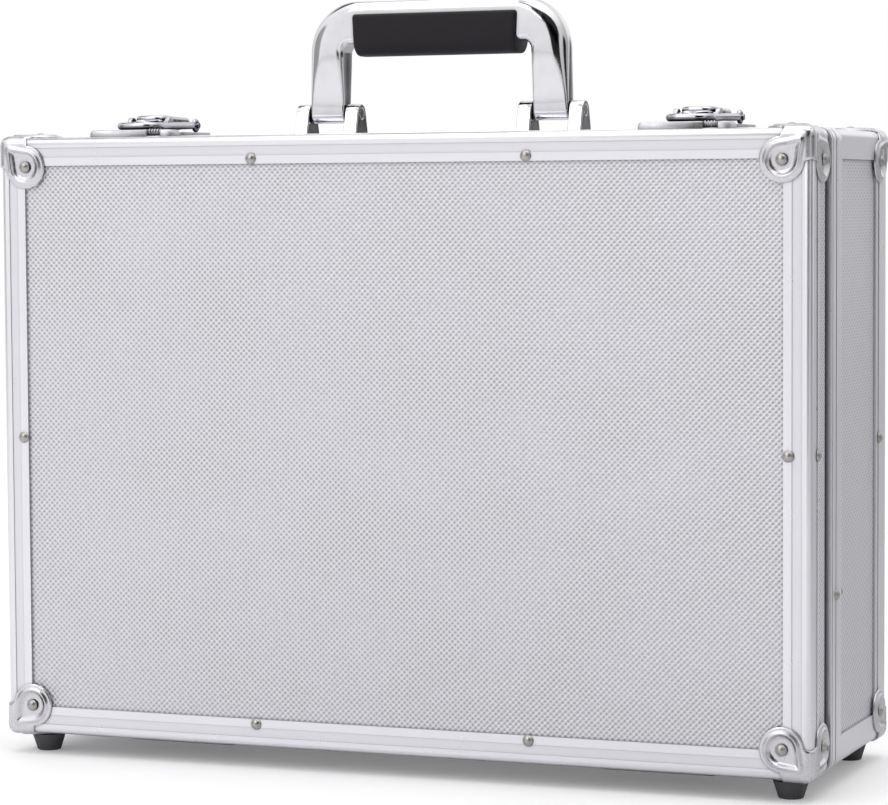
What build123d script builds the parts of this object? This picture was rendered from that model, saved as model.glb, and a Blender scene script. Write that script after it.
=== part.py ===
"""Aluminium carrying case for poker chips, standing upright on its hinge side.

Millimetres. X runs across the case, +Y from the lid towards the back, +Z up from the feet.
The origin is under the middle of the case, at the level of the bottom of the feet.
"""

from build123d import *
import os

# Overall size of the closed case without feet, handle and latches.
CASE_W = 400.0
CASE_D = 134.0
CASE_H = 286.0
FOOT_H = 10.0

# Walls: boards with an embossed aluminium skin, edged by extruded profiles.
BOARD = 3.0
PROFILE = 1.2
EDGE_R = 3.5
FACE_FLANGE = 13.3
LID_SIDE_FLANGE = 11.0
BACK_SIDE_FLANGE = 21.0
ANGLE_FLANGE = 13.3
GROOVE_DEPTH = 0.35
FACE_GROOVE = (4.8, 9.4)
SIDE_GROOVE = (2.5, 5.5)

# Seam between lid and case, measured from the front of the lid.
LID_WALL_END = 24.6
GASKET_END = 28.2
RIM_START = 28.6
RIM_END = 46.5
RIM_PROUD = 0.8
RIM_R = 6.0
RIM_GROOVES = ((2.0, 2.8), (8.0, 9.2))
RIM_GROOVE_DEPTH = 0.5
GASKET_SINK = 1.8
GASKET_R = 2.0
GASKET_T = 4.2

# Pressed corner covers.
COVER_T = 1.0
LOBE_R = 10.2
LOBE_IN = 13.8
LOBE_DEPTH = 15.5
COVER_REACH = 16.0
RIDGE_R = 8.3
RIDGE_BORE_R = 6.3
RIDGE_H = 0.9
RIDGE_TIP_R = 1.2
RIDGE_TIP_AT = 0.42
EDGE_TIP_R = 0.5
COVER_WEB = (-2.0, 10.0)

# Dome rivets.
RIVET_R = 2.7
RIVET_H = 1.6
SHANK_R = 1.3
TAIL_R = 2.2
TAIL_T = 0.8
SHANK_PLAY = 0.05
FACE_RIVET_IN = 11.0
FACE_RIVET_X = 67.8
LID_SIDE_RIVET = 9.0
BACK_SIDE_RIVET = 14.5

# Feet.
FOOT_TOP_R = 8.2
FOOT_TIP_R = 5.6
SCREW_R = 1.6
SCREW_HEAD_R = 3.2
SCREW_HEAD_T = 2.0
SCREW_SINK = 2.5
SCREW_SLOT = (4.8, 0.8)
NUT_T = 1.2
FOOT_BOSS_R = 6.1

# Hinges under the seam.
HINGE_X = 120.0
HINGE_L = 54.0
HINGE_DROP = 3.0
KNUCKLE_R = 2.1
HINGE_PIN_R = 1.1
HINGE_PLAY = 0.05
KNUCKLE_GAP = 0.3
KNUCKLE_CLEAR = 3.2
KNUCKLES = 3
LEAF_Z0 = -2.0
LEAF_REACH = 12.0

# Handle.
HANDLE_DEPTH = 68.0
LEG_IN = 48.0
LEG_OUT = 65.5
HANDLE_TOP = 64.0
BAR_UNDER = 44.0
SHOULDER_R = 24.0
INNER_R = 4.5
BAR_TOP_R = 3.0
BAR_LOW_R = 1.0
BAR_DEEP = 26.0
PIVOT_UP = 11.0
PIVOT_PIN_R = 2.5
PIVOT_PLAY = 0.06
EAR_PLAY = 0.03
EYE_R = 4.6
BAR_HALF = 8.0
GRIP_HALF_X = 41.5
GRIP_LOW = 38.0
GRIP_HIGH = 57.8
GRIP_HALF_Y = 10.0
GRIP_LOW_R = 6.5
GRIP_HIGH_R = 1.8
EAR_T = 6.8
EAR_GAP = 0.6
EAR_UP = 15.6
EAR_CROWN_R = 5.0
EAR_FOOT_R = 0.5
EAR_FOOT_HALF = 7.5
BRACKET_Y = 20.0
BRACKET_T = 1.6
BRACKET_LIP = (1.0, 1.5)

# Latches.
LATCH_X = 137.3
STRIKE = (14.0, 24.2)
STRIKE_W = 43.0
STRIKE_H = 3.6
STRIKE_RIM_H = 1.2
STRIKE_SLOPE = 3.0
LUG = (20.0, 22.6)
LUG_H = 7.2
LUG_W = 16.0
NOTCH_X = (8.5, 15.5)
NOTCH_DEEP = 5.0
NOTCH_FLOOR = 0.6
SPRING_TURNS = 4
SPRING_R = 1.15
SPRING_WIRE_R = 0.35
SPRING_PLAY = 0.65
BASE = (31.2, 66.0)
BASE_W = 40.0
BASE_T = 1.8
BASE_CORNER_R = 8.0
BASE_INSET = 4.0
LEVER_PIVOT = (35.5, 6.8)
BAIL_PIVOT = (58.0, 6.2)
HOOK_AT = (18.4, 5.4)
LEVER_W = 17.0
LEVER_FRONT_R = 4.0
LEVER_REAR_R = 3.6
LEVER_REAR_AT = (2.0, 0.6)
LEVER_LIP_R = 1.0
LEVER_LIP_AT = (7.0, 2.4)
LATCH_PIN_R = 1.4
TIGHT_PLAY = 0.03
TURNING_PLAY = 0.05
WIRE_R = 1.4
BAIL_HALF = 13.0
BAIL_CORNER_R = 6.0
BAIL_EYE_R = 3.1
BAIL_EYE_T = 2.4
BAIL_PIN_END = 0.6
LATCH_EAR = (8.9, 10.9)
LATCH_EAR_R = 3.0

# Inside.
PAD_T = 4.0
PAD_GAP = 5.5
PAD_PLAY = 1.5
TRAY_T = 45.0
TRAY_GAP = 1.0
TRAY_PLAY = 3.0
CHANNEL_EDGE = 4.0
WELL_EDGE = 5.0
TRAY_FLOOR = 3.0
CHIP_R = 20.4
CHANNEL_L = 350.0
CHANNEL_PITCH = 44.0
CHANNELS = 4
CARD_W = 92.0
CARD_H = 66.0
DICE_W = 150.0
SCOOP_R = 11.0
SCOOP_DEEP = 25.0
STAY_H = 78.5
STAY_RIVETS = (38.0, 50.5)
STAY_PLATE_T = 1.5
STAY_PLATE_H = 12.0

BASE_Z = FOOT_H
TOP_Z = FOOT_H + CASE_H
MID_Z = FOOT_H + CASE_H / 2
HALF_W = CASE_W / 2
SIDES = {"top": (0, 1), "bottom": (0, -1), "left": (-1, 0), "right": (1, 0)}
LEFT_RIGHT = {"left": -1, "right": 1}

nodes = {}


def depth(d):
    """Y of a plane d behind the front of the lid."""
    return d - CASE_D / 2


def block(x, y, z):
    """Box between pairs of coordinates."""
    (x0, x1), (y0, y1), (z0, z1) = sorted(x), sorted(y), sorted(z)
    middle = Pos((x0 + x1) / 2, (y0 + y1) / 2, (z0 + z1) / 2)
    return middle * Box(x1 - x0, y1 - y0, z1 - z0)


def rod(start, end, radius):
    """Round bar between two points along one axis."""
    start, end = Vector(*start), Vector(*end)
    along = end - start
    plane = Plane(origin=start, z_dir=along.normalized())
    return extrude(plane * Circle(radius), along.length)


def ring_prism(inset, radius, y0, y1):
    """Upright rectangle of the case outline, inset and rounded, extruded through the depth."""
    plane = Plane(origin=(0, y1, MID_Z), x_dir=(1, 0, 0), z_dir=(0, -1, 0))
    width, height = CASE_W - 2 * inset, CASE_H - 2 * inset
    outline = RectangleRounded(width, height, radius) if radius else Rectangle(width, height)
    return extrude(plane * outline, y1 - y0)


def side_wedge(side, y0, y1, margin=5.0, reach=40.0):
    """Mitred region that belongs to one of the four sides of the case."""
    sx, sz = SIDES[side]
    half = HALF_W + margin if sz else CASE_H / 2 + margin
    offset = CASE_H / 2 + margin if sz else HALF_W + margin
    outline = Polyline((-half, offset), (half, offset), (half - reach, offset - reach),
                       (reach - half, offset - reach), close=True)
    turn = {"top": 0, "left": 90, "bottom": 180, "right": -90}[side]
    face = make_face(outline)
    plane = Plane(origin=(0, y1, MID_Z), x_dir=(1, 0, 0), z_dir=(0, -1, 0))
    return extrude(plane * (Rot(0, 0, turn) * face), y1 - y0)


def edge_section(side_flange):
    """L section of an edge profile: x inwards from the side, y inwards from the face."""
    section = Pos(FACE_FLANGE / 2, PROFILE / 2) * Rectangle(FACE_FLANGE, PROFILE)
    section += Pos(PROFILE / 2, side_flange / 2) * Rectangle(PROFILE, side_flange)
    corner = Pos(EDGE_R / 2, EDGE_R / 2) * Rectangle(EDGE_R, EDGE_R)
    section -= corner - Pos(EDGE_R, EDGE_R) * Circle(EDGE_R)
    face_width, side_width = FACE_GROOVE[1] - FACE_GROOVE[0], SIDE_GROOVE[1] - SIDE_GROOVE[0]
    section -= Pos(sum(FACE_GROOVE) / 2, 0) * Rectangle(face_width, 2 * GROOVE_DEPTH)
    section -= Pos(0, side_flange - sum(SIDE_GROOVE) / 2) * Rectangle(2 * GROOVE_DEPTH, side_width)
    return section


def edge_profile(side, front, side_flange):
    """Edge profile along one side of the lid (front) or of the back of the case."""
    sx, sz = SIDES[side]
    length = CASE_W if sz else CASE_H
    inward_y = 1 if front else -1
    start_y = depth(0) if front else depth(CASE_D)
    inward = Vector(-sx, 0, -sz)
    along = inward.cross(Vector(0, inward_y, 0))
    corner = Vector(sx * HALF_W, start_y, MID_Z + sz * CASE_H / 2)
    plane = Plane(origin=corner, x_dir=inward, z_dir=along)
    bar = extrude(plane * edge_section(side_flange), length / 2, both=True)
    y0, y1 = sorted((start_y, start_y + inward_y * side_flange))
    bar = bar & side_wedge(side, y0, y1, margin=0.0)
    return bar & ring_prism(0, EDGE_R, y0, y1)


def corner_angles(y0, y1):
    """Plain angle profiles along the four corner edges of a shell, through its depth."""
    angles = []
    ring = ring_prism(0, EDGE_R, y0, y1) - ring_prism(PROFILE, 0, y0, y1)
    for sx in (-1, 1):
        for sz in (-1, 1):
            corner_z = MID_Z + sz * CASE_H / 2
            region = block((sx * (HALF_W + 1), sx * (HALF_W - ANGLE_FLANGE)), (y0, y1),
                           (corner_z + sz, corner_z - sz * ANGLE_FLANGE))
            angles += (ring & region).solids()
    return angles


def walls(prefix, y0, y1):
    """Four wall boards: top and bottom run the full width, the sides fit between them."""
    outer_x, outer_z = HALF_W - PROFILE, CASE_H / 2 - PROFILE
    for side, (sx, sz) in SIDES.items():
        if sz:
            x = (-outer_x, outer_x)
            z = (MID_Z + sz * outer_z, MID_Z + sz * (outer_z - BOARD))
        else:
            x = (sx * outer_x, sx * (outer_x - BOARD))
            z = (MID_Z - outer_z + BOARD, MID_Z + outer_z - BOARD)
        nodes[f"{prefix}_wall_{side}"] = block(x, (y0, y1), z)


def face_board(y0, y1):
    """Large board of the lid or the back."""
    outer_x, outer_z = HALF_W - PROFILE, CASE_H / 2 - PROFILE
    return block((-outer_x, outer_x), (y0, y1), (MID_Z - outer_z, MID_Z + outer_z))


def inner_block(play, y0, y1):
    """Plain block that fills the inside of the walls, less some play all round."""
    inner_x, inner_z = HALF_W - PROFILE - BOARD - play, CASE_H / 2 - PROFILE - BOARD - play
    return block((-inner_x, inner_x), (y0, y1), (MID_Z - inner_z, MID_Z + inner_z))


def rim_piece(side):
    """One mitred side of the raised rim profile around the mouth of the case."""
    y0, y1 = depth(RIM_START), depth(RIM_END)
    inner = PROFILE + BOARD
    ring = ring_prism(-RIM_PROUD, RIM_R, y0, y1) - ring_prism(inner, 0, y0, y1)
    sunk, sunk_r = RIM_GROOVE_DEPTH - RIM_PROUD, RIM_R - RIM_GROOVE_DEPTH
    for start, end in RIM_GROOVES:
        g0, g1 = y0 + start, y0 + end
        ring -= ring_prism(-2 * RIM_PROUD, RIM_R, g0, g1) - ring_prism(sunk, sunk_r, g0, g1)
    return ring & side_wedge(side, y0, y1)


def gasket():
    """Black seal on the ends of the lid walls, set back from the outside."""
    y0, y1 = depth(LID_WALL_END), depth(GASKET_END)
    outside = ring_prism(GASKET_SINK, GASKET_R, y0, y1)
    return outside - ring_prism(GASKET_SINK + GASKET_T, 0, y0, y1)


def rounded_octant(offset, radius, size=60.0):
    """Corner of the case with its three edges rounded, standing out by offset."""
    solid = None
    for axis in (Axis.X, Axis.Y, Axis.Z):
        middle = size / 2 - offset
        cube = Pos(middle, middle, middle) * Box(size, size, size)
        nearest = cube.edges().filter_by(axis).sort_by(lambda e: (e @ 0.5).length)[0]
        cube = fillet(nearest, radius)
        solid = cube if solid is None else solid & cube
    return solid


def lobe_outline(centre_a, centre_b):
    """Outline of one lobe: a circle joined by its tangents to the edges of the case."""
    circle = Pos(centre_a, centre_b) * Circle(LOBE_R)
    corner = Pos((COVER_REACH - COVER_T) / 2, (COVER_REACH - COVER_T) / 2)
    square = corner * Rectangle(COVER_REACH + COVER_T, COVER_REACH + COVER_T)
    tip_at = COVER_REACH - EDGE_TIP_R
    tips = [Pos(tip_at, 0) * Circle(EDGE_TIP_R), Pos(0, tip_at) * Circle(EDGE_TIP_R), Circle(COVER_T)]
    hull = make_hull(circle.edges() + [edge for tip in tips for edge in tip.edges()])
    web_width = COVER_WEB[1] - COVER_WEB[0]
    web = Pos(sum(COVER_WEB) / 2, sum(COVER_WEB) / 2) * Rectangle(web_width, web_width)
    return hull + (square & web)


def teardrop(centre_a, centre_b):
    """Raised ridge round the rivet, drawn out to a point towards the corner."""
    centre = Pos(centre_a, centre_b)
    point = Pos(centre_a * RIDGE_TIP_AT, centre_b * RIDGE_TIP_AT) * Circle(RIDGE_TIP_R)
    outline = make_hull((centre * Circle(RIDGE_R)).edges() + point.edges())
    return outline - centre * Circle(RIDGE_BORE_R)


def corner_cover():
    """Pressed three-lobed cover on the corner at the origin; the case fills +X, +Y, +Z."""
    shell = rounded_octant(COVER_T, EDGE_R + COVER_T) - rounded_octant(0.0, EDGE_R)
    wrap = EDGE_R + COVER_T
    lobes = None
    ridges = []
    along_x, along_y, along_z = Vector(1, 0, 0), Vector(0, 1, 0), Vector(0, 0, 1)
    faces = ((along_z, along_y, LOBE_IN, LOBE_IN), (along_x, along_z, LOBE_IN, LOBE_DEPTH),
             (along_y, along_x, LOBE_DEPTH, LOBE_IN))
    for x_dir, inward, centre_a, centre_b in faces:
        plane = Plane(origin=-inward * COVER_T, x_dir=x_dir, z_dir=inward)
        lobe = extrude(plane * lobe_outline(centre_a, centre_b), wrap + COVER_T, dir=inward)
        lobes = lobe if lobes is None else lobes + lobe
        ridges.append(extrude(plane * teardrop(centre_a, centre_b), RIDGE_H, dir=-inward))
    cover = shell & lobes
    for ridge in ridges:
        cover += ridge
    return cover


def at_corners(part, front):
    """Copies of a part made at the origin corner, on the four corners of the lid or the back."""
    copies = []
    for sx in (-1, 1):
        for sz in (-1, 1):
            copy = part
            if sx > 0:
                copy = mirror(copy, Plane.YZ)
            if sz > 0:
                copy = mirror(copy, Plane.XY)
            if not front:
                copy = mirror(copy, Plane.XZ)
            y = depth(0) if front else depth(CASE_D)
            copies.append(Pos(sx * HALF_W, y, MID_Z + sz * CASE_H / 2) * copy)
    return copies


def dome_rivet(seat, outward, under):
    """Dome rivet with its head on seat, passing through a thickness under, tail inside."""
    seat, outward = Vector(*seat), Vector(*outward)
    plane = Plane(origin=seat, z_dir=outward)
    sphere_r = (RIVET_R ** 2 + RIVET_H ** 2) / (2 * RIVET_H)
    ball = Pos(0, 0, RIVET_H - sphere_r) * Sphere(sphere_r)
    head = ball & (Pos(0, 0, RIVET_H / 2) * Box(4 * RIVET_R, 4 * RIVET_R, RIVET_H))
    shank = Pos(0, 0, -under / 2) * Cylinder(SHANK_R, under)
    tail = Pos(0, 0, -under - TAIL_T / 2) * Cylinder(TAIL_R, TAIL_T)
    return plane.location * (head + shank + tail)


def shell_rivets(front, side_rivet):
    """Places of the rivets of one shell: (point on the profile, outward, cover thickness)."""
    y = depth(0) if front else depth(CASE_D)
    out = -1 if front else 1
    side_y = y - out * side_rivet
    lobe_y = y - out * LOBE_DEPTH
    edge_x, edge_z = HALF_W - FACE_RIVET_IN, CASE_H / 2 - FACE_RIVET_IN
    places = []
    for s in (-1, 1):
        for x in (-FACE_RIVET_X, FACE_RIVET_X):
            places.append(((x, y, MID_Z + s * edge_z), (0, out, 0), 0.0))
        places.append(((s * edge_x, y, MID_Z), (0, out, 0), 0.0))
        places.append(((s * HALF_W, side_y, MID_Z), (s, 0, 0), 0.0))
        for sz in (-1, 1):
            lobe_x, lobe_z = s * (HALF_W - LOBE_IN), MID_Z + sz * (CASE_H / 2 - LOBE_IN)
            places.append(((lobe_x, y, lobe_z), (0, out, 0), COVER_T))
            places.append(((s * HALF_W, lobe_y, lobe_z), (s, 0, 0), COVER_T))
        places.append(((s * (HALF_W - LOBE_IN), lobe_y, TOP_Z), (0, 0, 1), COVER_T))
    return places


def fit_rivets(name, places, under):
    """Add a node of rivets and return their holes."""
    rivets, holes = [], []
    for seat, outward, cover in places:
        seat, outward = Vector(*seat), Vector(*outward)
        head_at = seat + outward * cover
        rivets += dome_rivet(head_at, outward, under + cover).solids()
        holes.append(rod(head_at + outward * 2, seat - outward * (under + 0.5),
                         SHANK_R + SHANK_PLAY))
    nodes[name] = rivets
    return holes


def drill(names, holes):
    """Cut every hole out of each named node that it meets."""
    for name in names:
        solids = []
        for solid in as_solids(nodes[name]):
            room = solid.bounding_box()
            near = [hole for hole in holes if boxes_meet(room, hole.bounding_box())]
            if near:
                solids += (solid - near).solids()
            else:
                solids.append(solid)
        nodes[name] = solids


def as_solids(shape):
    """List of the solids in a shape or list of shapes."""
    if isinstance(shape, (list, tuple)):
        return [solid for item in shape for solid in item.solids()]
    return shape.solids()


def boxes_meet(a, b):
    """True where two bounding boxes overlap."""
    return all(lo_a < hi_b and lo_b < hi_a for lo_a, hi_a, lo_b, hi_b in
               ((a.min.X, a.max.X, b.min.X, b.max.X), (a.min.Y, a.max.Y, b.min.Y, b.max.Y),
                (a.min.Z, a.max.Z, b.min.Z, b.max.Z)))


def foot(x, y):
    """Tapered rubber foot with a sunk screw hole; its boss fits inside the ridge of the cover."""
    top = BASE_Z - COVER_T - RIDGE_H
    cone = Pos(x, y, top / 2) * Cone(FOOT_TIP_R, FOOT_TOP_R, top)
    tip = cone.edges().filter_by(GeomType.CIRCLE).sort_by(Axis.Z)[0]
    cone = fillet(tip, 0.8)
    cone += rod((x, y, top - 1), (x, y, BASE_Z - COVER_T), FOOT_BOSS_R)
    cone -= rod((x, y, -1), (x, y, BASE_Z + 1), SCREW_R + SHANK_PLAY)
    return cone - rod((x, y, -1), (x, y, SCREW_SINK + SCREW_HEAD_T), SCREW_HEAD_R + 2 * SHANK_PLAY)


def foot_screw(x, y):
    """Screw through a foot, the cover and the wall, with its nut inside."""
    inside = BASE_Z + PROFILE + BOARD
    head = rod((x, y, SCREW_SINK), (x, y, SCREW_SINK + SCREW_HEAD_T), SCREW_HEAD_R)
    long, wide = SCREW_SLOT
    for size_x, size_y in ((long, wide), (wide, long)):
        head -= Pos(x, y, SCREW_SINK) * Box(size_x, size_y, 2 * wide)
    shank = rod((x, y, SCREW_SINK + 1), (x, y, inside), SCREW_R)
    nut = rod((x, y, inside), (x, y, inside + NUT_T), SCREW_HEAD_R)
    return head + shank + nut


def add_feet(prefix, y):
    """Two feet and their screws; returns the screw holes."""
    places = [(s * (HALF_W - LOBE_IN), y) for s in (-1, 1)]
    nodes[f"{prefix}_feet"] = [foot(*at) for at in places]
    nodes[f"{prefix}_foot_screws"] = [foot_screw(*at) for at in places]
    return [rod((x, y, 0), (x, y, BASE_Z + 6), SCREW_R + SHANK_PLAY) for x, y in places]


def build_lid():
    """Front shell of the case."""
    nodes["lid_face_panel"] = face_board(depth(PROFILE), depth(PROFILE + BOARD))
    walls("lid", depth(PROFILE + BOARD), depth(LID_WALL_END))
    for side in SIDES:
        nodes[f"lid_edge_{side}"] = edge_profile(side, True, LID_SIDE_FLANGE)
    nodes["lid_corner_angles"] = corner_angles(depth(LID_SIDE_FLANGE), depth(LID_WALL_END))
    nodes["lid_gasket"] = gasket()
    nodes["lid_corner_covers"] = at_corners(corner_cover(), True)
    nodes["lid_lining"] = inner_block(PAD_PLAY, depth(PAD_GAP), depth(PAD_GAP + PAD_T))
    holes = fit_rivets("lid_rivets", shell_rivets(True, LID_SIDE_RIVET), PROFILE + BOARD)
    holes += add_feet("lid", depth(LOBE_DEPTH))
    drilled = [name for name in nodes if name.startswith("lid_") and
               name.split("_")[1] in ("face", "wall", "edge", "corner")]
    drill(drilled, holes)


def build_case():
    """Rear shell of the case with its raised rim."""
    back = CASE_D - PROFILE - BOARD
    nodes["case_back_panel"] = face_board(depth(back), depth(CASE_D - PROFILE))
    walls("case", depth(RIM_END), depth(back))
    for side in SIDES:
        nodes[f"case_edge_{side}"] = edge_profile(side, False, BACK_SIDE_FLANGE)
        nodes[f"case_rim_{side}"] = rim_piece(side)
    nodes["case_corner_angles"] = corner_angles(depth(RIM_END), depth(CASE_D - BACK_SIDE_FLANGE))
    nodes["case_corner_covers"] = at_corners(corner_cover(), False)
    pad = CASE_D - PAD_GAP
    nodes["case_lining"] = inner_block(PAD_PLAY, depth(pad - PAD_T), depth(pad))
    holes = fit_rivets("case_rivets", shell_rivets(False, BACK_SIDE_RIVET), PROFILE + BOARD)
    holes += add_feet("case", depth(CASE_D - LOBE_DEPTH))
    drilled = [name for name in nodes if name.startswith("case_") and
               name.split("_")[1] in ("back", "wall", "edge", "corner")]
    drill(drilled, holes)


def build_stay_brackets():
    """Steel plates inside the mouth, each held by two rivets through the side."""
    places = []
    height = BASE_Z + STAY_H
    for name, s in LEFT_RIGHT.items():
        inner = s * (HALF_W - PROFILE - BOARD)
        y = (depth(STAY_RIVETS[0] - 5), depth(STAY_RIVETS[1] + 5))
        z = (height - STAY_PLATE_H / 2, height + STAY_PLATE_H / 2)
        nodes[f"stay_bracket_{name}"] = block((inner, inner - s * STAY_PLATE_T), y, z)
        for d, proud in zip(STAY_RIVETS, (RIM_PROUD, -PROFILE)):
            places.append(((s * HALF_W, depth(d), height), (s, 0, 0), proud))
    holes = fit_rivets("stay_rivets", places, PROFILE + BOARD + STAY_PLATE_T)
    drill(["case_rim_left", "case_rim_right", "case_wall_left", "case_wall_right",
           "stay_bracket_left", "stay_bracket_right"], holes)


def hinge(x0, axis_y):
    """Lid leaf, case leaf and pin of one hinge; the middle knuckle belongs to the lid."""
    axis_z, leaf_low = BASE_Z - HINGE_DROP, BASE_Z + LEAF_Z0
    x = (x0, x0 + HINGE_L)
    front, rear = axis_y - KNUCKLE_CLEAR, axis_y + KNUCKLE_CLEAR
    lid_leaf = block(x, (front, front - LEAF_REACH), (leaf_low, BASE_Z))
    case_leaf = block(x, (rear, depth(RIM_END)), (leaf_low, BASE_Z - RIM_PROUD))
    for i in range(KNUCKLES):
        k0 = x0 + i * HINGE_L / KNUCKLES + (KNUCKLE_GAP / 2 if i else 0)
        k1 = x0 + (i + 1) * HINGE_L / KNUCKLES - (KNUCKLE_GAP / 2 if i < KNUCKLES - 1 else 0)
        barrel = rod((k0, axis_y, axis_z), (k1, axis_y, axis_z), KNUCKLE_R)
        if i == 1:
            lid_leaf += barrel + block((k0, k1), (axis_y - 1.0, front), (axis_z + 1, leaf_low + 1))
        else:
            case_leaf += barrel + block((k0, k1), (axis_y + 1.0, rear), (axis_z + 1, leaf_low + 1))
    bore = rod((x[0] - 1, axis_y, axis_z), (x[1] + 1, axis_y, axis_z), HINGE_PIN_R + HINGE_PLAY)
    pin = rod((x[0], axis_y, axis_z), (x[1], axis_y, axis_z), HINGE_PIN_R)
    return lid_leaf - bore, case_leaf - bore, pin


def build_hinges():
    """Two pin hinges under the seam."""
    axis_y = depth((GASKET_END + RIM_START) / 2)
    pairs = [hinge(s * HINGE_X - HINGE_L / 2, axis_y) for s in (-1, 1)]
    for name, parts in zip(("hinge_lid_leaves", "hinge_case_leaves", "hinge_pins"), zip(*pairs)):
        nodes[name] = list(parts)


def handle_arch():
    """Front view of the handle frame: two legs and a bar with round shoulders."""
    low = TOP_Z + PIVOT_UP - EYE_R
    top = TOP_Z + HANDLE_TOP
    plane = Plane(origin=(0, 20, 0), x_dir=(1, 0, 0), z_dir=(0, -1, 0))
    outer = Pos(0, (low + top) / 2) * Rectangle(2 * LEG_OUT, top - low)
    outer = fillet(outer.vertices().group_by(Axis.Y)[-1], SHOULDER_R)
    under = TOP_Z + BAR_UNDER
    inner = Pos(0, (low - 10 + under) / 2) * Rectangle(2 * LEG_IN, under - low + 10)
    inner = fillet(inner.vertices().group_by(Axis.Y)[-1], INNER_R)
    return extrude(plane * (outer - inner), 40)


def handle_side():
    """Side view of the handle frame: slim at the pivot, deep at the bar."""
    y, pivot = depth(HANDLE_DEPTH), TOP_Z + PIVOT_UP
    top = TOP_Z + HANDLE_TOP
    plane = Plane(origin=(-100, 0, 0), x_dir=(0, 1, 0), z_dir=(1, 0, 0))
    eye = Pos(y, pivot) * Circle(EYE_R)
    edges = eye.edges()
    for radius, height in ((BAR_TOP_R, top - BAR_TOP_R), (BAR_LOW_R, top - BAR_DEEP)):
        for s in (-1, 1):
            edges += (Pos(y + s * (BAR_HALF - radius), height) * Circle(radius)).edges()
    return extrude(plane * make_hull(edges), 200)


def handle_grip(y):
    """Rubber sleeve on the bar, rounder below than above."""
    grip = block((-GRIP_HALF_X, GRIP_HALF_X), (y - GRIP_HALF_Y, y + GRIP_HALF_Y),
                 (TOP_Z + GRIP_LOW, TOP_Z + GRIP_HIGH))
    grip = fillet(grip.edges().filter_by(Axis.X).group_by(Axis.Z)[0], GRIP_LOW_R)
    return fillet(grip.edges().filter_by(Axis.X).group_by(Axis.Z)[-1], GRIP_HIGH_R)


def handle_bracket(s, y):
    """Plate on the wall with an ear on each side of one handle leg."""
    low = TOP_Z - PROFILE
    inner = (s * (LEG_IN - EAR_GAP - EAR_T), s * (LEG_IN - EAR_GAP))
    outer = (s * (LEG_OUT + EAR_GAP), s * (LEG_OUT + EAR_GAP + EAR_T))
    bracket = block((inner[0] - s * BRACKET_LIP[0], outer[1] + s * BRACKET_LIP[1]),
                    (y - BRACKET_Y / 2, y + BRACKET_Y / 2), (low, low + BRACKET_T))
    for ear in (inner, outer):
        plane = Plane(origin=(min(ear), 0, 0), x_dir=(0, 1, 0), z_dir=(1, 0, 0))
        edges = (Pos(y, TOP_Z + EAR_UP - EAR_CROWN_R) * Circle(EAR_CROWN_R)).edges()
        for t in (-1, 1):
            edges += (Pos(y + t * EAR_FOOT_HALF, low + EAR_FOOT_R) * Circle(EAR_FOOT_R)).edges()
        bracket += extrude(plane * make_hull(edges), EAR_T)
    return bracket


def build_handle():
    """Folding handle, its brackets and pins."""
    y, pivot = depth(HANDLE_DEPTH), TOP_Z + PIVOT_UP
    bore = rod((-100, y, pivot), (100, y, pivot), PIVOT_PIN_R + PIVOT_PLAY)
    frame = (handle_arch() & handle_side()) - bore
    nodes["handle_frame"] = frame
    nodes["handle_grip"] = handle_grip(y) - frame
    reach = EAR_GAP + EAR_T
    pins = []
    for name, s in LEFT_RIGHT.items():
        start, end = (s * (LEG_IN - reach), y, pivot), (s * (LEG_OUT + reach), y, pivot)
        ear_bore = rod(start, end, PIVOT_PIN_R + EAR_PLAY)
        nodes[f"handle_bracket_{name}"] = handle_bracket(s, y) - ear_bore
        pins.append(rod(start, end, PIVOT_PIN_R))
    nodes["handle_pins"] = pins


def latch_strike(x0):
    """Lid half of a latch: a low block with a lug for the bail and a notch for its spring."""
    half = STRIKE_W / 2
    plane = Plane(origin=(x0, depth(STRIKE[1]), TOP_Z), x_dir=(1, 0, 0), z_dir=(0, -1, 0))
    outline = Polyline((-half, -PROFILE), (half, -PROFILE), (half, STRIKE_RIM_H),
                       (half - STRIKE_SLOPE, STRIKE_H), (STRIKE_SLOPE - half, STRIKE_H),
                       (-half, STRIKE_RIM_H), close=True)
    strike = extrude(plane * make_face(outline), STRIKE[1] - STRIKE[0])
    strike -= block((x0 + NOTCH_X[0], x0 + NOTCH_X[1]),
                    (depth(STRIKE[0] - 1), depth(STRIKE[0] + NOTCH_DEEP)),
                    (TOP_Z + NOTCH_FLOOR, TOP_Z + STRIKE_H + 1))
    return strike + block((x0 - LUG_W / 2, x0 + LUG_W / 2), (depth(LUG[0]), depth(LUG[1])),
                          (TOP_Z + STRIKE_RIM_H, TOP_Z + LUG_H))


def notch_spring(x0):
    """Small coil spring lying across the notch of the strike."""
    length = NOTCH_X[1] - NOTCH_X[0] - 2 * SPRING_PLAY
    y, z = depth(STRIKE[0] + NOTCH_DEEP / 2), TOP_Z + NOTCH_FLOOR + SPRING_R + 2 * SPRING_WIRE_R
    path = Helix(pitch=length / SPRING_TURNS, height=length, radius=SPRING_R,
                 center=(x0 + NOTCH_X[0] + SPRING_PLAY, y, z), direction=(1, 0, 0))
    section = Plane(origin=path @ 0, z_dir=path % 0) * Circle(SPRING_WIRE_R)
    return sweep(section, path=path)


def latch_pin(x0, pivot, half):
    """Pin across a latch, through a pivot given as (distance behind the lid front, height)."""
    d, up = pivot
    return rod((x0 - half, depth(d), TOP_Z + up), (x0 + half, depth(d), TOP_Z + up), LATCH_PIN_R)


def latch_bore(x0, pivot, play):
    """Hole for a latch pin."""
    d, up = pivot
    return rod((x0 - BASE_W / 2, depth(d), TOP_Z + up), (x0 + BASE_W / 2, depth(d), TOP_Z + up),
               LATCH_PIN_R + play)


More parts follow.
